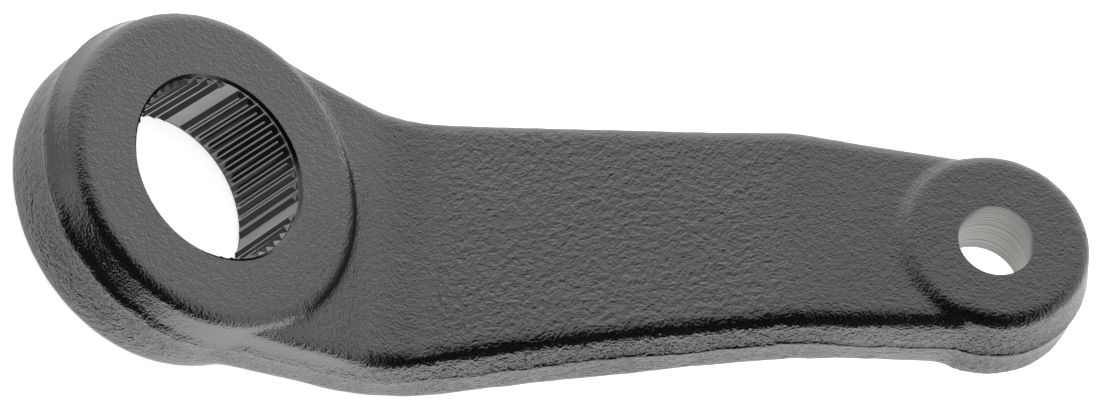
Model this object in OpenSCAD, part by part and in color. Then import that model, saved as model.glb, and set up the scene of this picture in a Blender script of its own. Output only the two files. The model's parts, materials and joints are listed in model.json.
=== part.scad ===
// Pitman arm of a steering gear, forged in one piece from steel.
// The big end has a tapered, serrated bore for the gear's output shaft.
// The arm drops out of the hub's plane by two bends and ends in a boss
// with a tapered hole for the ball stud of the drag link.
// Origin: hub axis at the gear face. +Z: towards the nut face. +X: towards the stud end.

/* [Hub] */
// Radius of the hub at the parting line of the forging
hub_r = 32.5; // [30:0.1:38]
// Depth of the parting line below the nut face
hub_parting = 8.2; // [7:0.1:11]
// Rounding of the edge of the nut face
hub_edge = 2; // [1:0.1:2.3]
// Rounding of the edge of the gear face
hub_back_edge = 3.2; // [1:0.1:4.5]
// Height of the nut face above the web
hub_step = 1.9; // [1.8:0.1:5]
// Depth of the gear face below the web
hub_back_step = 4.5; // [3.2:0.1:8]

/* [Serrated bore] */
// Pitches of the serration round the bore
serrations = 48; // [36:4:60]
// Wide grooves, evenly spaced, each in the place of one tooth
master_grooves = 4; // [1:1:6]
// Turn of the first wide groove from the arm's centre line
clocking = -5; // [-45:0.5:45]
// Radius at the bottom of the grooves, at the nut face
root_r = 17.6; // [15:0.1:19]
// Height of a tooth
tooth_h = 0.85; // [0.5:0.05:1.1]
// Width of the flat on the crest of a tooth
crest_flat = 0.33; // [0.2:0.01:0.6]
// Width of the flat at the bottom of a groove
root_flat = 0.3; // [0.2:0.01:0.6]
// Growth of the bore's diameter per length, towards the gear face
serration_taper = 0.083; // [0:0.001:0.1]
// Chamfer at both mouths of the bore, beyond the bottom of the grooves
mouth_chamfer = 0.6; // [0.2:0.05:1.5]

/* [Web] */
// Thickness of the web
web_h = 15.6; // [12:0.1:18]
// Distance from the hub axis to the first bend
bend1_x = 43.2; // [41:0.1:60]
// Turn of the first bend, out of the hub's plane
bend1_turn = 47; // [20:0.5:50]
// Radius of the first bend at the parting line
bend1_r = 22; // [15:0.1:30]
// Length between the two bends
ramp_l = 76.4; // [60:0.1:100]
// Turn of the second bend, back towards the hub's plane
bend2_turn = 14.5; // [5:0.1:18]
// Radius of the second bend at the parting line
bend2_r = 12; // [11:0.1:30]
// Length from the second bend to the stud axis
end_l = 37.4; // [30:0.1:70]
// How far the line of the web's straight sides starts inside the hub's widest line
side_tuck = 0.5; // [0.4:0.1:4]
// Width of the web at the first bend
web_w1 = 54.4; // [40:0.1:60]
// Width of the web at the second bend
web_w2 = 42.1; // [34:0.1:50]
// Width of the web at the stud axis
web_w3 = 36.5; // [28:0.1:38]
// How far the web's sides curve in, halfway between the bends
side_hollow = 0.5; // [0:0.1:2]
// Plan radius where the web's sides flow into the hub
plan_r = 47; // [20:1:80]
// Rounding of the web's nut-side edges at the hub
web_edge_hub = 1.6; // [1:0.1:4]
// Rounding of the web's nut-side edges at the stud boss
web_edge_boss = 3; // [1:0.1:4]
// Rounding of the web's gear-side edges
web_back_edge = 3.2; // [1:0.1:5]

/* [Stud boss] */
// Radius of the boss at the parting line
boss_r = 19.6; // [19:0.1:24]
// Height of the boss's nut face above the web
boss_step = 1.4; // [1.3:0.1:4]
// Depth of the boss's stud face below the web
boss_back_step = 1.8; // [1.5:0.1:5]
// Drop of the boss's parting line below the web's
boss_parting_drop = 2; // [0:0.1:4]
// Rounding of the edge of the boss's nut face
boss_edge = 1.4; // [0.6:0.1:1.6]
// Rounding of the edge of the boss's stud face
boss_back_edge = 1.5; // [0.6:0.1:1.8]
// Radius of the stud hole at its small end, on the nut face
stud_r = 7.15; // [5:0.05:9]
// Growth of the stud hole's diameter per length
stud_taper = 0.125; // [0.1:0.005:0.17]
// Chamfer at both mouths of the stud hole
stud_chamfer = 0.4; // [0.1:0.1:1]

/* [Forging] */
// Draft of the nut-side half of the forging
draft_nut = 12; // [8:0.5:14]
// Draft of the gear-side half of the forging
draft_gear = 4.5; // [3:0.5:12]

/* [Hidden] */

// How far a cutter reaches past the face that it opens
past = 1;
// How far the web's sides run inside the hub's wall before they leave it
tuck = 0.3;
// How far the web stops short of the stud axis, inside the boss
web_stop = 2;
// Facets on each rounded edge and sections on each stretch of the web
edge_steps = 4;
hub_stretch_steps = 12;
bend_steps = 8;
ramp_steps = 6;
end_steps = 5;

// Thickness of the hub and of the boss between their faces
hub_h = web_h + hub_step + hub_back_step;
boss_h = web_h + boss_step + boss_back_step;

// Heights above and below the parting planes
parting_z = hub_h - hub_parting;
web_up = hub_parting - hub_step;
web_down = web_h - web_up;
boss_up = web_up + boss_step + boss_parting_drop;
boss_down = boss_h - boss_up;

// Arc lengths along the web's centre line where its stretches begin and end
bend1_cut = bend1_r * tan(bend1_turn / 2);
bend2_cut = bend2_r * tan(bend2_turn / 2);
bend1_l = bend1_r * bend1_turn * PI / 180;
bend2_l = bend2_r * bend2_turn * PI / 180;
bend1_s = bend1_x - bend1_cut;
ramp_s = bend1_s + bend1_l;
bend2_s = ramp_s + ramp_l - bend1_cut - bend2_cut;
end_s = bend2_s + bend2_l;
stud_s = end_s + end_l - bend2_cut;
stud_tilt = bend1_turn - bend2_turn;

// Half width of the web's straight sides at arc length s
side_w0 = hub_r - side_tuck;
side_bend1_s = bend1_s + bend1_l / 2;
side_bend2_s = bend2_s + bend2_l / 2;
function side_line(s) = lookup(s, [
  [0, side_w0],
  [side_bend1_s, web_w1 / 2],
  [side_bend2_s, web_w2 / 2],
  [stud_s, web_w3 / 2]
]) - hollow((s - side_bend1_s) / (side_bend2_s - side_bend1_s));
function hollow(share) = side_hollow * max(0, 4 * share * (1 - share));

// Plan arc between the hub's circle and the straight side: centre and ends
tuck_r = hub_r - tuck;
side_slope = (web_w1 / 2 - side_w0) / side_bend1_s;
side_norm = norm([1, side_slope]);
plan_lift = side_w0 + plan_r * side_norm;
plan_a = 1 + pow(side_slope, 2);
plan_b = side_slope * plan_lift;
plan_c = pow(plan_lift, 2) - pow(tuck_r + plan_r, 2);
plan_s = (-plan_b + sqrt(max(0, plan_b * plan_b - plan_a * plan_c))) / plan_a;
plan_y = plan_lift + side_slope * plan_s;
plan_from = plan_s * tuck_r / (tuck_r + plan_r);
plan_to = plan_s + plan_r * side_slope / side_norm;

// Half width of the web at the parting line, at arc length s
function half_width(s) =
  s < plan_from ? sqrt(pow(tuck_r, 2) - s * s)
  : s < plan_to ? plan_y - sqrt(pow(plan_r, 2) - pow(s - plan_s, 2))
  : side_line(s);

// Centre line of the web at arc length s: x, height above the parting plane, and turn
function turned(from, r, way, a) = [
  from.x + r * (sin(from[2] + way * a) - sin(from[2])) * way,
  from.y - r * (cos(from[2] + way * a) - cos(from[2])) * way,
  from[2] + way * a
];
function ahead(from, l) = [from.x + l * cos(from[2]), from.y + l * sin(from[2]), from[2]];
bend1_from = [bend1_s, 0, 0];
ramp_from = turned(bend1_from, bend1_r, 1, bend1_turn);
bend2_from = ahead(ramp_from, bend2_s - ramp_s);
end_from = turned(bend2_from, bend2_r, -1, bend2_turn);
stud_at = ahead(end_from, stud_s - end_s);
function centre_line(s) =
  s <= bend1_s ? [s, 0, 0]
  : s <= ramp_s ? turned(bend1_from, bend1_r, 1, bend1_turn * (s - bend1_s) / bend1_l)
  : s <= bend2_s ? ahead(ramp_from, s - ramp_s)
  : s <= end_s ? turned(bend2_from, bend2_r, -1, bend2_turn * (s - bend2_s) / bend2_l)
  : ahead(end_from, s - end_s);

// Drafted wall: where the centre of its edge rounding lies, for a wall r wide at the
// parting plane that leans in by the draft up to the given height
function edge_at(r, height, edge, draft) = [
  r - height * tan(draft) - edge * tan(45 - draft / 2),
  height - edge
];

// Points of one rounded edge, from the flat face to the drafted wall
function edge_points(r, height, edge, draft) = [
  for (i = [0:edge_steps])
    edge_at(r, height, edge, draft) + edge * [
      sin((90 - draft) * i / edge_steps),
      cos((90 - draft) * i / edge_steps)
    ]
];

// One side of the web's section, from its top face round to its bottom face
function side_points(w, edge) = concat(
  edge_points(w, web_up, edge, draft_nut),
  [[w, 0]],
  [for (p = reverse(edge_points(w, web_down, web_back_edge, draft_gear))) [p.x, -p.y]]
);
function reverse(list) = [for (i = [len(list) - 1:-1:0]) list[i]];

// Closed section of the web at arc length s, set on the centre line
function web_section(s) =
  let (
    at = centre_line(s),
    edge = web_edge_hub + (web_edge_boss - web_edge_hub) * s / stud_s,
    side = side_points(half_width(s), edge),
    ring = concat(side, [for (p = reverse(side)) [-p.x, p.y]])
  )
  [for (p = ring) [at.x - p.y * sin(at[2]), p.x, at.y + p.y * cos(at[2])]];

// Stretches of the web as lists of arc lengths
function stretch(from, to, steps) = [for (i = [0:steps - 1]) from + (to - from) * i / steps];
web_stations = concat(
  stretch(0, bend1_s, hub_stretch_steps),
  stretch(bend1_s, ramp_s, bend_steps),
  stretch(ramp_s, bend2_s, ramp_steps),
  stretch(bend2_s, end_s, bend_steps),
  stretch(end_s, stud_s - web_stop, end_steps),
  [stud_s - web_stop]
);

// Bent web: sections along the centre line, joined into one closed skin
module web() {
  sections = [for (s = web_stations) web_section(s)];
  ring = len(sections[0]);
  last = len(sections) - 1;
  skin = [
    for (i = [0:last - 1], j = [0:ring - 1])
      let (k = (j + 1) % ring)
      [i * ring + j, i * ring + k, (i + 1) * ring + k, (i + 1) * ring + j]
  ];
  caps = [
    [for (j = [ring - 1:-1:0]) j],
    [for (j = [0:ring - 1]) last * ring + j]
  ];
  translate([0, 0, parting_z])
    polyhedron(points = [for (ring_points = sections, p = ring_points) p], faces = concat(skin, caps));
}

// Forged disc about Z with its parting plane at z = 0, drafted and rounded on both sides
module forged_disc(r, up, down, edge_up, edge_down) {
  top = edge_at(r, up, edge_up, draft_nut);
  low = edge_at(r, down, edge_down, draft_gear);
  rotate_extrude($fn = 96) {
    polygon([
      [0, up],
      [top.x, up],
      top + edge_up * [cos(draft_nut), sin(draft_nut)],
      [r, 0],
      [low.x + edge_down * cos(draft_gear), -low.y - edge_down * sin(draft_gear)],
      [low.x, -down],
      [0, -down]
    ]);
    translate(top) circle(edge_up, $fn = 48);
    translate([low.x, -low.y]) circle(edge_down, $fn = 48);
  }
}

// Outline of the serrated bore at the given root radius
serration_pitch = 360 / serrations;
master_teeth = [for (k = [0:master_grooves - 1]) round(k * serrations / master_grooves)];
function is_master(i) = len([for (m = master_teeth) if (m == i) m]) > 0;
function round_point(r, a) = [r * cos(a), r * sin(a)];
function flat_turn(flat, r) = asin(flat / 2 / r);
module serration_outline(root) {
  crest = root - tooth_h;
  crest_turn = flat_turn(crest_flat, crest);
  root_turn = flat_turn(root_flat, root);
  polygon([
    for (i = [0:serrations - 1])
      let (a = clocking + i * serration_pitch, groove = a + serration_pitch / 2)
      each concat(
        is_master(i) ? [] : [round_point(crest, a - crest_turn), round_point(crest, a + crest_turn)],
        [round_point(root, groove - root_turn), round_point(root, groove + root_turn)]
      )
  ]);
}

// Tapered, serrated bore of the hub with a chamfer at each mouth
module serrated_bore() {
  growth = serration_taper / 2;
  gear_root_r = root_r + growth * hub_h;
  nut_mouth = root_r + mouth_chamfer + past;
  gear_mouth = gear_root_r + mouth_chamfer + past;
  mouth_l = past + mouth_chamfer + tooth_h + past;
  translate([0, 0, -past])
    linear_extrude(hub_h + 2 * past, scale = (root_r - growth * past) / (gear_root_r + growth * past))
      serration_outline(gear_root_r + growth * past);
  translate([0, 0, hub_h + past - mouth_l])
    cylinder(h = mouth_l, r1 = nut_mouth - mouth_l, r2 = nut_mouth, $fn = 96);
  translate([0, 0, -past])
    cylinder(h = mouth_l, r1 = gear_mouth, r2 = gear_mouth - mouth_l, $fn = 96);
}

// Places its children on the stud axis, with z = 0 at the boss's parting plane
module at_boss() {
  translate([stud_at.x, 0, parting_z + stud_at.y])
    rotate([0, -stud_tilt, 0])
      translate([0, 0, -boss_parting_drop])
        children();
}

// Tapered hole for the ball stud with a chamfer at each mouth
module stud_hole() {
  growth = stud_taper / 2;
  far_r = stud_r + growth * boss_h;
  break_l = past + stud_chamfer;
  translate([0, 0, -boss_down - past])
    cylinder(h = boss_h + 2 * past, r1 = far_r + growth * past, r2 = stud_r - growth * past, $fn = 96);
  translate([0, 0, boss_up - stud_chamfer])
    cylinder(h = break_l, r1 = stud_r, r2 = stud_r + break_l, $fn = 96);
  translate([0, 0, -boss_down - past])
    cylinder(h = break_l, r1 = far_r + break_l, r2 = far_r, $fn = 96);
}

module pitman_arm() {
  color([0.24, 0.235, 0.25])
    difference() {
      union() {
        translate([0, 0, parting_z])
          forged_disc(hub_r, hub_parting, hub_h - hub_parting, hub_edge, hub_back_edge);
        web();
        at_boss() forged_disc(boss_r, boss_up, boss_down, boss_edge, boss_back_edge);
      }
      serrated_bore();
      at_boss() stud_hole();
    }
}

pitman_arm();
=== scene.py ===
import json
import math

import bmesh
import bpy
from mathutils import Matrix, Quaternion, Vector, kdtree, noise


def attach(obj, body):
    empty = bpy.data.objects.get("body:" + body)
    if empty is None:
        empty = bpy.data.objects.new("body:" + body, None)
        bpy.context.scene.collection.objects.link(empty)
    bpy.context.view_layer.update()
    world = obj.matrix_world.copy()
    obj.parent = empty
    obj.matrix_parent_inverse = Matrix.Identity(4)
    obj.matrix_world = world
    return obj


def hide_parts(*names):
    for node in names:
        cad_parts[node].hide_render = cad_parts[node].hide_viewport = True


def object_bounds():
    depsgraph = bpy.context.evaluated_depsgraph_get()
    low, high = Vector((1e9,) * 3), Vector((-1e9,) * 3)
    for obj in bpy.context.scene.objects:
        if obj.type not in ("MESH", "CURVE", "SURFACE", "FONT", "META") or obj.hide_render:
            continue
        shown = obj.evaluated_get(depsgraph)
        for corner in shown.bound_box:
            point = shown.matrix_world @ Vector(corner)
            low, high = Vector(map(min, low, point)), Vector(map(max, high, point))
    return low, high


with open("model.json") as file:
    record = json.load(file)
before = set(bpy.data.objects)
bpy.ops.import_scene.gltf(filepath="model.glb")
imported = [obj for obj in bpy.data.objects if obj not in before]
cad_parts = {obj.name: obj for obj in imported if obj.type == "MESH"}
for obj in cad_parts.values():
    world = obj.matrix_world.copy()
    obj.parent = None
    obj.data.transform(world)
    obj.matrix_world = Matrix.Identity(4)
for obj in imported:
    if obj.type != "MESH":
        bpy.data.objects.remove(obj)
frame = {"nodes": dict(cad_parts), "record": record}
cad_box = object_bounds()

# Camera
# A long lens looks down on the nut face from the hub's side. It is rolled until the arm
# lies level across the picture.
mm = 0.001
camera_eye = Vector((-299.7, -314.05, 511.24)) * mm
camera_aim = Vector((29.8, -20.43, 81.5)) * mm
camera_roll = math.radians(60.55)
camera_data = bpy.data.cameras.new("camera")
camera_data.sensor_fit = "HORIZONTAL"
camera_data.sensor_width = 36
camera_data.lens = 117.8
camera_data.clip_start = 10 * mm
camera = bpy.data.objects.new("camera", camera_data)
level_view = (camera_aim - camera_eye).to_track_quat("-Z", "Y")
rolled_view = level_view @ Quaternion((0, 0, 1), camera_roll)
camera.matrix_world = Matrix.LocRotScale(camera_eye, rolled_view, None)
scene = bpy.context.scene
scene.collection.objects.link(camera)
scene.camera = camera

# Forged arm
# One steel forging: hub, bent web and stud boss in one piece, closed between two dies whose
# parting line runs round its sides. It is shot blasted and then coated in satin black.
mounts = {mount["name"]: mount for mount in frame["record"]["mounts"]}
hub_h = mounts["nut_seat"]["pos_m"][2]
stud_axis = Vector(mounts["stud_hole"]["axis"])
stud_middle = Vector(mounts["stud_hole"]["pos_m"])
stud_face = Vector(mounts["stud_nut_seat"]["pos_m"])
boss_h = 2 * (stud_middle - stud_face).dot(stud_axis)


def on_axis(middle, axis):
    """Stands a shape that was made about Z on an axis, with its middle at a point"""
    return Matrix.Translation(middle) @ axis.to_track_quat("Z", "Y").to_matrix().to_4x4()


def new_object(name, shape):
    mesh = bpy.data.meshes.new(name)
    shape.to_mesh(mesh)
    shape.free()
    made = bpy.data.objects.new(name, mesh)
    scene.collection.objects.link(made)
    return made


def apply_modifiers(obj):
    drawn = obj.evaluated_get(bpy.context.evaluated_depsgraph_get())
    obj.data = bpy.data.meshes.new_from_object(drawn)
    obj.modifiers.clear()


# The blank before machining: both holes are plugged, and its skin is rebuilt in even faces
# so that the blends between hub, web and boss can run soft.
hub_plug_r, stud_plug_r = 19.6 * mm, 9 * mm
voxel, blend_passes, merge_within = 0.6 * mm, 5, 0.001 * mm
blank = bmesh.new()
blank.from_mesh(frame["nodes"]["pitman_arm"].data)
bmesh.ops.remove_doubles(blank, verts=blank.verts, dist=merge_within)
bmesh.ops.create_cone(
    blank, cap_ends=True, segments=64, radius1=hub_plug_r, radius2=hub_plug_r, depth=hub_h,
    matrix=Matrix.Translation((0, 0, hub_h / 2)))
bmesh.ops.create_cone(
    blank, cap_ends=True, segments=48, radius1=stud_plug_r, radius2=stud_plug_r, depth=boss_h,
    matrix=on_axis(stud_middle, stud_axis))
arm = new_object("forged_arm", blank)
even_skin = arm.modifiers.new("even_skin", "REMESH")
even_skin.mode = "VOXEL"
even_skin.voxel_size = voxel
die_blends = arm.modifiers.new("die_blends", "SMOOTH")
die_blends.factor = 0.5
die_blends.iterations = blend_passes
apply_modifiers(arm)

# Centre line of the arm at the parting line, walked from behind the hub to past the stud,
# as stations of place and heading in the plane of symmetry. Near the boss the parting line
# drops below it.
parting_depth, parting_drop, drop_before_stud, drop_l = 8.2 * mm, 2 * mm, 38 * mm, 26 * mm
behind_hub, past_stud, station_step = 45 * mm, 25 * mm, 0.5 * mm
bend1_x, bend1_turn, bend1_r = 43.2 * mm, math.radians(47), 22 * mm
bend2_turn, bend2_r = math.radians(14.5), 12 * mm
ramp_l, end_l = 76.4 * mm, 37.4 * mm
bend1_cut = bend1_r * math.tan(bend1_turn / 2)
bend2_cut = bend2_r * math.tan(bend2_turn / 2)
bend1_start = behind_hub + bend1_x - bend1_cut
bend1_end = bend1_start + bend1_r * bend1_turn
bend2_start = bend1_end + ramp_l - bend1_cut - bend2_cut
stretches = [
    (bend1_start, 0),
    (bend1_r * bend1_turn, bend1_turn),
    (ramp_l - bend1_cut - bend2_cut, 0),
    (bend2_r * bend2_turn, -bend2_turn),
    (end_l - bend2_cut + past_stud, 0),
]
place, heading = Vector((-behind_hub, 0, hub_h - parting_depth)), 0
stations = []
for length, turn in stretches:
    steps = round(length / station_step)
    for _ in range(steps):
        heading += turn / steps / 2
        place = place + Vector((math.cos(heading), 0, math.sin(heading))) * length / steps
        heading += turn / steps / 2
        stations.append((place, heading))
nearest = kdtree.KDTree(len(stations))
for index, (place, heading) in enumerate(stations):
    nearest.insert(place, index)
nearest.balance()
drop_from = len(stations) - round((past_stud + drop_before_stud) / station_step)
drop_to = drop_from + round(drop_l / station_step)


def smoothstep(start, full, x):
    t = min(1, max(0, (x - start) / (full - start)))
    return t * t * (3 - 2 * t)


def above_parting(point):
    """Height of a point above the parting line, its way along the arm, and which way is up there"""
    _, index, _ = nearest.find((point.x, 0, point.z))
    place, heading = stations[index]
    up = Vector((-math.sin(heading), 0, math.cos(heading)))
    height = (point - place).dot(up) + parting_drop * smoothstep(drop_from, drop_to, index)
    return height, index * station_step, up


def from_hub(point):
    return math.hypot(point.x, point.y)


def from_stud(point):
    return (point - stud_middle).cross(stud_axis).length


# Metal fills a die only round a radius. A fill leads the web's gear side out to the boss, and its
# foot is softened. The hollow corners on the sides of the hub and the boss are eased until none
# is tighter than its blend, and so are the edges of the nut side.
boss_r, boss_rim = 19.5 * mm, 0.8 * mm
fill_h, fill_run, web_below = 2.3 * mm, 15 * mm, 9.3 * mm
side_top = 3 * mm
hub_blend_r, hub_blend_from, hub_blend_to, hub_rounds = 14 * mm, 26 * mm, 52 * mm, 120
boss_blend_r, boss_blend_from, boss_blend_to, boss_rounds = 30 * mm, 12 * mm, 40 * mm, 160
foot_top, foot_from, foot_to, foot_rounds = -3 * mm, 14 * mm, 28 * mm, 24
nut_edge_r, nut_edge_above, nut_edge_spread, nut_edge_rounds = 3.5 * mm, 2 * mm, 4, 40
forging = bmesh.new()
forging.from_mesh(arm.data)


def soften(verts):
    bmesh.ops.smooth_vert(
        forging, verts=verts, factor=0.5, use_axis_x=True, use_axis_y=True, use_axis_z=True)


def ease(verts, radius, rounds, outward):
    """Softens the edges among some vertices that turn outward (1) or inward (-1) tighter than a radius"""
    verts = set(verts)
    edges = [edge for edge in forging.edges if verts.issuperset(edge.verts)]
    for _ in range(rounds):
        tight = {vert for edge in edges
                 if edge.calc_face_angle_signed(0) * outward > voxel / radius for vert in edge.verts}
        soften(list(tight))


heights = {vert: above_parting(vert.co)[0] for vert in forging.verts}
for vert, height in heights.items():
    r = from_stud(vert.co)
    run = smoothstep(boss_r - boss_rim, boss_r, r) * smoothstep(boss_r + fill_run, boss_r, r)
    vert.co += stud_axis * fill_h * run * max(0, -height / web_below)
hub_side = [vert for vert, height in heights.items()
            if height < side_top and hub_blend_from < from_hub(vert.co) < hub_blend_to]
ease(hub_side, hub_blend_r, hub_rounds, -1)
boss_side = [vert for vert, height in heights.items()
             if height < side_top and boss_blend_from < from_stud(vert.co) < boss_blend_to]
ease(boss_side, boss_blend_r, boss_rounds, -1)
foot = [vert for vert, height in heights.items()
        if height < foot_top and foot_from < from_stud(vert.co) < foot_to and vert.co.x < stud_middle.x]
for _ in range(foot_rounds):
    soften(foot)
nut_edges = {vert for edge in forging.edges
             if edge.calc_face_angle_signed(0) > voxel / nut_edge_r
             for vert in edge.verts if heights[vert] > nut_edge_above}
for _ in range(nut_edge_spread):
    nut_edges |= {edge.other_vert(vert) for vert in nut_edges for edge in vert.link_edges}
ease(nut_edges, nut_edge_r, nut_edge_rounds, 1)
forging.normal_update()

# Forging skin: slow waves left by the dies and small dents left by the shot. The upper half runs
# out into a trimmed lip at the parting line, which wanders, and the lower half is set in under it.
# The web is swollen, and dips where the first bend ends. The upper die sat a little to one side
# along the web and the boss.
die_wave, die_wave_l = 0.1 * mm, 16 * mm
shot_dent, shot_dent_l = 0.03 * mm, 2.6 * mm
wander, wander_l, wander_octaves = 0.8 * mm, 9 * mm, 3
set_in, set_in_blur, set_in_depth = 0.4 * mm, 0.4 * mm, 9 * mm
hub_lip, lip_h = 0.45 * mm, 2.4 * mm
web_swell = 0.35 * mm
bend_dip, bend_dip_at, bend_dip_l = 0.35 * mm, bend1_end - 2 * mm, 5 * mm
die_shift = 0.6 * mm
coined_calm, lower_rough = 1.4, 0.5

# Where each of these starts and where it is full: along the arm, from the stud's axis, by height
# above the parting line, or by how steeply a face stands, from 0 for flat to 1 for upright
hub_along = (behind_hub + 44 * mm, behind_hub + 26 * mm)
ramp_starts = (bend1_end - 3 * mm, bend1_end + 5 * mm)
ramp_ends = (bend2_start + 6 * mm, bend2_start - 6 * mm)
shift_along = (behind_hub + 30 * mm, behind_hub + 80 * mm)
boss_around = (40 * mm, 25 * mm)
shift_height = (-0.2 * mm, 0.6 * mm)
dip_height = (0, 2 * mm)
coined_hub_height = (0, 1 * mm)
coined_edge_height = (3.5 * mm, 5.5 * mm)
lower_height = (0, -1 * mm)
dip_wall = (0.3, 0)
coined_edge_wall = (0.76, 0.6)
blasted_wall = (0.2, 0.7)
parting_layer = forging.verts.layers.float.new("parting_height_mm")
wall_layer = forging.verts.layers.float.new("wall")
ramp_layer = forging.verts.layers.float.new("ramp")
blast_layer = forging.verts.layers.float.new("blasted")
box_low, box_high = cad_box
for vert in forging.verts:
    point = vert.co.copy()
    height, along, up = above_parting(point)
    trim = Vector((along, point.y, 0)) / wander_l
    height += wander * noise.fractal(trim, 1, 2, wander_octaves)
    wall = 1 - abs(vert.normal.dot(up))
    by_hub = smoothstep(*hub_along, along)
    by_boss = smoothstep(*boss_around, from_stud(point))
    coined_hub = by_hub * smoothstep(*coined_hub_height, height)
    coined_edge = smoothstep(*coined_edge_height, height) * smoothstep(*coined_edge_wall, wall)
    rough = 1 - coined_calm * max(coined_hub, coined_edge) + lower_rough * smoothstep(*lower_height, height)
    vert[parting_layer] = height / mm
    vert[wall_layer] = wall
    vert[ramp_layer] = smoothstep(*ramp_starts, along) * smoothstep(*ramp_ends, along)
    vert[blast_layer] = smoothstep(*blasted_wall, wall) * rough

    push = die_wave * noise.noise(point / die_wave_l) + shot_dent * noise.noise(point / shot_dent_l)
    swell = web_swell * wall * (1 - by_hub) * (1 - by_boss)
    dip = bend_dip * math.exp(-((along - bend_dip_at) / bend_dip_l) ** 2)
    dip *= smoothstep(*dip_wall, wall) * smoothstep(*dip_height, height)
    under = smoothstep(set_in_blur, -set_in_blur, height)
    under *= smoothstep(-set_in_depth, -set_in_depth / 2, height)
    over = smoothstep(0, lip_h, height) * wall * hub_lip * by_hub
    moved = point + vert.normal * (push + swell - dip - set_in * under - over)
    moved.y += die_shift * smoothstep(*shift_along, along) * smoothstep(*shift_height, height)
    vert.co = [min(box_high[axis], max(box_low[axis], moved[axis])) for axis in range(3)]
forging.to_mesh(arm.data)
forging.free()


class Value:
    """A shader socket that takes part in Python sums"""

    def __init__(self, graph, socket):
        self.graph, self.socket = graph, socket

    def math(self, operation, first, second):
        return self.graph.node("ShaderNodeMath", {0: first, 1: second}, operation=operation)

    def __add__(self, other):
        return self.math("ADD", self, other)

    def __mul__(self, other):
        return self.math("MULTIPLY", self, other)

    def __sub__(self, other):
        return self.math("SUBTRACT", self, other)

    def __rsub__(self, other):
        return self.math("SUBTRACT", other, self)

    __radd__ = __add__
    __rmul__ = __mul__


class Graph:
    """The node tree of a material or a world, started afresh"""

    def __init__(self, owner):
        owner.use_nodes = True
        self.tree = owner.node_tree
        self.tree.nodes.clear()

    def node(self, kind, sockets=None, out=0, **settings):
        """Adds a node, sets it, fills or links its sockets, and gives one of its outputs"""
        made = self.tree.nodes.new(kind)
        for name, value in settings.items():
            setattr(made, name, value)
        for name, value in (sockets or {}).items():
            if isinstance(value, Value):
                self.tree.links.new(value.socket, made.inputs[name])
            else:
                made.inputs[name].default_value = value
        return Value(self, made.outputs[out]) if made.outputs else None

    def place(self, scale=(1, 1, 1)):
        """The piece's own coordinates, stretched"""
        own = self.node("ShaderNodeTexCoord", out="Object")
        return self.node("ShaderNodeMapping", {"Vector": own, "Scale": scale})

    def attribute(self, name):
        return self.node("ShaderNodeAttribute", out="Fac", attribute_name=name)

    def noise(self, vector, size, detail=2):
        """Noise whose lumps are about the given size"""
        return self.node("ShaderNodeTexNoise", {"Vector": vector, "Scale": 1 / size, "Detail": detail})

    def along(self, vector, direction):
        """How far a vector reaches along a direction"""
        return self.node(
            "ShaderNodeVectorMath", {0: vector, 1: direction}, out="Value", operation="DOT_PRODUCT")

    def span(self, value, start, end, first=0, last=1, **settings):
        """Runs from a first to a last number while a value runs from a start to an end"""
        return self.node("ShaderNodeMapRange", {0: value, 1: start, 2: end, 3: first, 4: last}, **settings)

    def mix(self, share, first, second):
        """Mixes two colours"""
        return self.node("ShaderNodeMix", {0: share, 6: first, 7: second}, out=2, data_type="RGBA")

    def blend(self, share, first, second):
        """Mixes two shaders"""
        return self.node("ShaderNodeMixShader", {0: share, 1: first, 2: second})


# Black coat: thin and satin over the blasted skin, so its gloss breaks up on every grain. Heights
# are in millimetres. The skin is smoothest where the dies coined it, on the hub's upper wall and
# along the rounded upper edges, and roughest on the walls below the parting line.
coat_dark, coat_worn, coat_ior = (0.002, 0.0019, 0.003, 1), (0.006, 0.0055, 0.008, 1), 2.75
patch_l, grain_l, peel_l = 14 * mm, 0.5 * mm, 1.3 * mm
grain_h, grain_on_ramp, grain_on_walls = 0.2, 0.02, 0.18
peel_h, peel_on_ramp, peel_on_walls = 0.15, 0.2, 0.28
lip_w, lip_step, lip_rise = 0.4, 0.08, 0.2
coat = bpy.data.materials.new("black_coat")
graph = Graph(coat)
own = graph.place()
patches = graph.noise(own, patch_l, detail=3)
grain = graph.noise(own, grain_l) - 0.5
peel = graph.noise(own, peel_l, detail=1.5) - 0.5
wall, ramp, blasted, parting_height = [
    graph.attribute(name) for name in ("wall", "ramp", "blasted", "parting_height_mm")]
run_out = graph.span(parting_height, 0, lip_w, 1, 0)
step = graph.span(parting_height, -lip_step, 0)
height = (grain * (grain_h + grain_on_ramp * ramp + grain_on_walls * blasted)
          + peel * (peel_h + peel_on_ramp * ramp + peel_on_walls * blasted)
          + run_out * step * wall * lip_rise)
shine = graph.node("ShaderNodeBsdfPrincipled", {
    "Base Color": graph.mix(patches, coat_dark, coat_worn),
    "Roughness": 0.1 + 0.08 * patches,
    "IOR": coat_ior,
    "Normal": graph.node("ShaderNodeBump", {"Strength": 1, "Distance": mm, "Height": height}),
})
graph.node("ShaderNodeOutputMaterial", {"Surface": shine})
arm.data.materials.clear()
arm.data.materials.append(coat)

# Serrated bore
# Broached through the hub with a slight taper: teeth all round, four of them left out for the
# wide grooves that place the arm on its shaft, and a chamfer at each mouth.
pitches, pitches_per_groove, clocking = 48, 12, math.radians(-5)
root_r, tooth_h, taper = 17.6 * mm, 0.85 * mm, 0.083
crest_flat, root_flat, mouth_chamfer, past = 0.33 * mm, 0.3 * mm, 0.6 * mm, 1 * mm
growth = taper / 2


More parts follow.
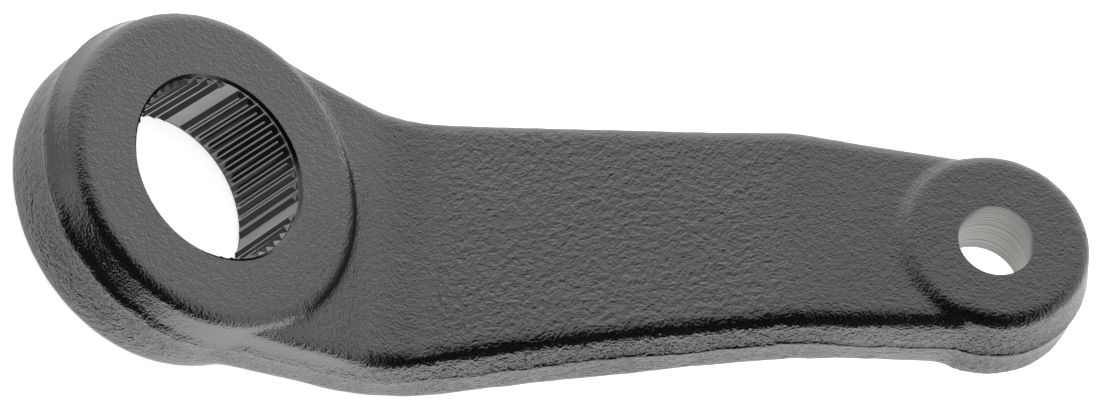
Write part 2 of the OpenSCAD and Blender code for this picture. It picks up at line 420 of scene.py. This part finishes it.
def broached_steel(name, dark, light):
    """Steel with fine scratches along the bore, clouded between two tones"""
    scratch_w, scratch_depth, stretch, cloud_l = 0.25 * mm, 0.03 * mm, 0.03, 5 * mm
    steel = bpy.data.materials.new(name)
    graph = Graph(steel)
    scratches = graph.noise(graph.place(scale=(1, 1, stretch)), scratch_w)
    clouds = graph.noise(graph.place(), cloud_l)
    shine = graph.node("ShaderNodeBsdfPrincipled", {
        "Base Color": graph.mix(clouds, dark, light),
        "Metallic": 1,
        "Roughness": 0.14 + 0.1 * scratches,
        "Normal": graph.node(
            "ShaderNodeBump", {"Strength": 0.3, "Distance": scratch_depth, "Height": scratches}),
    })
    graph.node("ShaderNodeOutputMaterial", {"Surface": shine})
    return steel


# The bore's steel is painted darker than bare steel, as shade inside the hub, and the flanks are painted
# nearly black as the deep shade between the teeth.
crest_steel = broached_steel("broached_steel", (0.17, 0.17, 0.175, 1), (0.28, 0.28, 0.285, 1))
flank_steel_painted_shade = broached_steel("broached_flanks", (0.02, 0.02, 0.022, 1), (0.05, 0.05, 0.052, 1))
mouth_steel = broached_steel("turned_mouth", (0.13, 0.13, 0.133, 1), (0.18, 0.18, 0.183, 1))
end_steel = broached_steel("tooth_ends", (0.25, 0.25, 0.253, 1), (0.34, 0.34, 0.343, 1))


def cut(obj, tool_shape, *finishes):
    """Machines a shape out of a piece, and leaves the tool's own finishes on the cut"""
    tool = new_object("tool", tool_shape)
    for finish in finishes:
        tool.data.materials.append(finish)
    boolean = obj.modifiers.new("cut", "BOOLEAN")
    boolean.operation = "DIFFERENCE"
    boolean.solver = "MANIFOLD"
    boolean.material_mode = "TRANSFER"
    boolean.object = tool
    apply_modifiers(obj)
    bpy.data.objects.remove(tool)


# The broach has four corners to a pitch, two on the crest and two on the root, and its second material,
# which is painted nearly black as shade, is for the flanks, whose corners lie at different distances from
# the axis.
gear_root_r = root_r + growth * (hub_h + past)
broach = bmesh.new()
profile = bmesh.ops.create_circle(broach, cap_ends=True, segments=4 * pitches, radius=1)["verts"]
for index, vert in enumerate(profile):
    pitch, corner = divmod(index, 4)
    on_crest = corner < 2
    r = gear_root_r - tooth_h * (on_crest and pitch % pitches_per_groove > 0)
    middle = clocking + math.tau * (pitch + (0 if on_crest else 0.5)) / pitches
    turn = middle + (corner % 2 - 0.5) * (crest_flat if on_crest else root_flat) / r
    vert.co = (r * math.cos(turn), r * math.sin(turn), -past)
narrowed = (root_r - growth * past) / gear_root_r
far_end = bmesh.ops.extrude_face_region(broach, geom=broach.faces[:])["geom"]
far_verts = [part for part in far_end if isinstance(part, bmesh.types.BMVert)]
bmesh.ops.scale(broach, vec=(narrowed, narrowed, 1), verts=far_verts)
bmesh.ops.translate(broach, vec=(0, 0, hub_h + 2 * past), verts=far_verts)
bmesh.ops.recalc_face_normals(broach, faces=broach.faces)
for face in broach.faces:
    reaches = [vert.co.xy.length for vert in face.verts if vert.co.z < 0]
    face.material_index = int(max(reaches, default=0) - min(reaches, default=0) > tooth_h / 2)
cut(arm, broach, crest_steel, flank_steel_painted_shade)


def turned(outline, segments):
    """A solid turned about Z, from the (radius, z) points of half its section"""
    shape = bmesh.new()
    points = [shape.verts.new((r, 0, z)) for r, z in outline]
    lines = [shape.edges.new(ends) for ends in zip(points, points[1:])]
    bmesh.ops.spin(
        shape, geom=points + lines, axis=(0, 0, 1), angle=math.tau, steps=segments, use_merge=True)
    bmesh.ops.remove_doubles(shape, verts=shape.verts, dist=merge_within)
    bmesh.ops.recalc_face_normals(shape, faces=shape.faces)
    return shape


# Each mouth has a chamfer down to the roots, and the teeth end a little deeper, cut back on a slope.
teeth_from, teeth_full = 1.2 * mm, 1.85 * mm
slope_end = teeth_full + past * (teeth_full - teeth_from) / tooth_h
for mouth_z, side, root in ((hub_h, 1, root_r), (0, -1, gear_root_r)):
    section = [
        (0, -past),
        (root + mouth_chamfer + past, -past),
        (root, mouth_chamfer),
        (root, teeth_from),
        (root - tooth_h - past, slope_end),
        (0, slope_end),
    ]
    mouth = turned([(r, mouth_z - side * deep) for r, deep in section], 128)
    for face in mouth.faces:
        face.material_index = int((mouth_z - face.calc_center_median().z) * side > teeth_from)
    cut(arm, mouth, mouth_steel, end_steel)

# Stud hole
# Reamed through the boss to the standard taper of a ball stud, which leaves fine rings round
# its wall. A small chamfer breaks both rims.
stud_r, stud_taper, stud_chamfer = 7.15 * mm, 1 / 8, 0.4 * mm
ring_l, ring_depth, groove_floor, groove_top = 0.45 * mm, 0.05 * mm, 0.36, 0.5
# The groove colour is painted shade in the hollows between the reamed rings.
groove_painted_shade, ring_bright = (0.07, 0.07, 0.07, 1), (0.3, 0.31, 0.3, 1)
reamed = bpy.data.materials.new("reamed_steel")
graph = Graph(reamed)
depth = graph.along(graph.node("ShaderNodeTexCoord", out="Object"), stud_axis)
rings = graph.node(
    "ShaderNodeTexNoise", {"W": depth * (1 / ring_l), "Scale": 1, "Detail": 3, "Roughness": 0.7},
    noise_dimensions="1D")
shine = graph.node("ShaderNodeBsdfPrincipled", {
    "Base Color": graph.mix(graph.span(rings, groove_floor, groove_top), groove_painted_shade, ring_bright),
    "Metallic": 1,
    "Roughness": 0.3 + 0.1 * rings,
    "Normal": graph.node("ShaderNodeBump", {"Strength": 0.5, "Distance": ring_depth, "Height": rings}),
})
graph.node("ShaderNodeOutputMaterial", {"Surface": shine})

stud_growth = stud_taper / 2
far_r = stud_r + stud_growth * boss_h
ream = bmesh.new()
bmesh.ops.create_cone(
    ream, cap_ends=True, segments=128, radius1=stud_r - stud_growth * past,
    radius2=far_r + stud_growth * past, depth=boss_h + 2 * past, matrix=on_axis(stud_middle, stud_axis))
cut(arm, ream, reamed)
for side, rim in ((-1, stud_r), (1, far_r)):
    rim_break = bmesh.new()
    bmesh.ops.create_cone(
        rim_break, cap_ends=True, segments=128, radius1=rim - side * stud_chamfer,
        radius2=rim + side * stud_chamfer, depth=2 * stud_chamfer,
        matrix=on_axis(stud_middle + stud_axis * side * boss_h / 2, stud_axis))
    cut(arm, rim_break, reamed)

# The machined arm shades smooth, apart from the edges that the tools left.
crease = math.radians(22)
for face in arm.data.polygons:
    face.use_smooth = True
arm.data.set_sharp_from_angle(angle=crease)
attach(arm, "root")
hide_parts("pitman_arm")

# Studio
# White paper lies under the arm, and a white tent stands behind and over it, brightest behind. The
# room on the camera's side has a faint window and is dark otherwise. The arm mirrors that darkness
# in the black lines along its rounded edges.
white, black = (1, 1, 1, 1), (0, 0, 0, 1)
cloth_white, table_white = (0.97, 0.95, 1, 1), (1, 1, 0.97, 1)
overhead = Vector((-0.56, 0, 0.83))
table_up = Vector((-0.55, -0.16, 0.82))
lit_side = Vector((1, 0, 0))
dark_side = Vector((-0.1, -0.93, 0.36))
tent_back = Vector((0.1, 0.95, -0.3))
tent_right = Vector((0.83, 0, 0.56))
tent_left = Vector((-0.85, 0.4, -0.35))
window = Vector((0.81, -0.58, -0.05))
surround = bpy.data.worlds.new("surround")
scene.world = surround
studio = Graph(surround)
way = studio.node("ShaderNodeTexCoord", out="Generated")


def seen_directly(graph):
    """1 for rays that show the studio itself, and 0 for rays that carry its light"""
    looks, shines, passes = [
        graph.node("ShaderNodeLightPath", out=ray)
        for ray in ("Is Camera Ray", "Is Glossy Ray", "Is Transmission Ray")]
    return graph.node(
        "ShaderNodeMath", {0: looks + shines, 1: passes}, operation="ADD", use_clamp=True)


def fade(direction, start, full, strength=1):
    """Rises softly to a strength while a ray's reach along a direction runs from a start to full"""
    return studio.span(
        studio.along(way, direction), start, full, 0, strength, interpolation_type="SMOOTHSTEP")


def glowing(color, strength):
    return studio.node("ShaderNodeBackground", {"Color": color, "Strength": strength})


# How much of the cloth's white the arm mirrors each way
room_glow = 0.012
tent_walls = fade(dark_side, 0.36, 0.2, 0.515)
roof_shade = fade(overhead, 0.5, 1.05, 0.1)
back_glow = fade(tent_back, 0.25, 0.95, 0.55)
left_shade = fade(tent_left, 0.8, 0.97, 0.2)
right_edge = fade(tent_right, 0.65, 0.88, 0.5) * fade(dark_side, 0.2, 0.36)
window_glow = fade(window, 0.8, 1, 0.3)
tent = room_glow + tent_walls - roof_shade + back_glow - left_shade + right_edge + window_glow
room = studio.blend(tent, glowing(black, 0), glowing(cloth_white, 1))
table = studio.blend(fade(lit_side, -0.1, 0.5), glowing(table_white, 0.85), glowing(table_white, 1.2))
round_arm = studio.blend(fade(table_up, -0.2, -0.32), room, table)
backdrop, soft_light = glowing(white, 1), glowing(white, 0.6)
camera_ray = studio.node("ShaderNodeLightPath", out="Is Camera Ray")
shown = studio.blend(camera_ray, round_arm, backdrop)
seen = studio.blend(seen_directly(studio), soft_light, shown)
studio.node("ShaderNodeOutputWorld", {"Surface": seen})

floor_size = 3
paper_grey, paper_glow = (0.8, 0.8, 0.8, 1), 0.8
sheet = bmesh.new()
bmesh.ops.create_grid(sheet, x_segments=1, y_segments=1, size=floor_size)
floor = new_object("floor", sheet)
floor.visible_glossy = False
paper = bpy.data.materials.new("white_paper")
graph = Graph(paper)
matte = graph.node("ShaderNodeBsdfDiffuse", {"Color": paper_grey})
glow = graph.node("ShaderNodeEmission", {"Color": white, "Strength": paper_glow})
bright = graph.node("ShaderNodeAddShader", {0: matte, 1: glow})
graph.node("ShaderNodeOutputMaterial", {"Surface": graph.blend(seen_directly(graph), matte, bright)})
floor.data.materials.append(paper)

softbox_at, softbox_aim = Vector((0.1, 0.35, 0.9)), Vector((0.06, 0, 0.04))
softbox_data = bpy.data.lights.new("softbox", "AREA")
softbox_data.shape = "SQUARE"
softbox_data.size = 0.9
softbox_data.energy = 6
softbox = bpy.data.objects.new("softbox", softbox_data)
softbox_turn = (softbox_aim - softbox_at).to_track_quat("-Z", "Y")
softbox.matrix_world = Matrix.LocRotScale(softbox_at, softbox_turn, None)
softbox.visible_glossy = False
scene.collection.objects.link(softbox)

scene.view_settings.view_transform = "Standard"
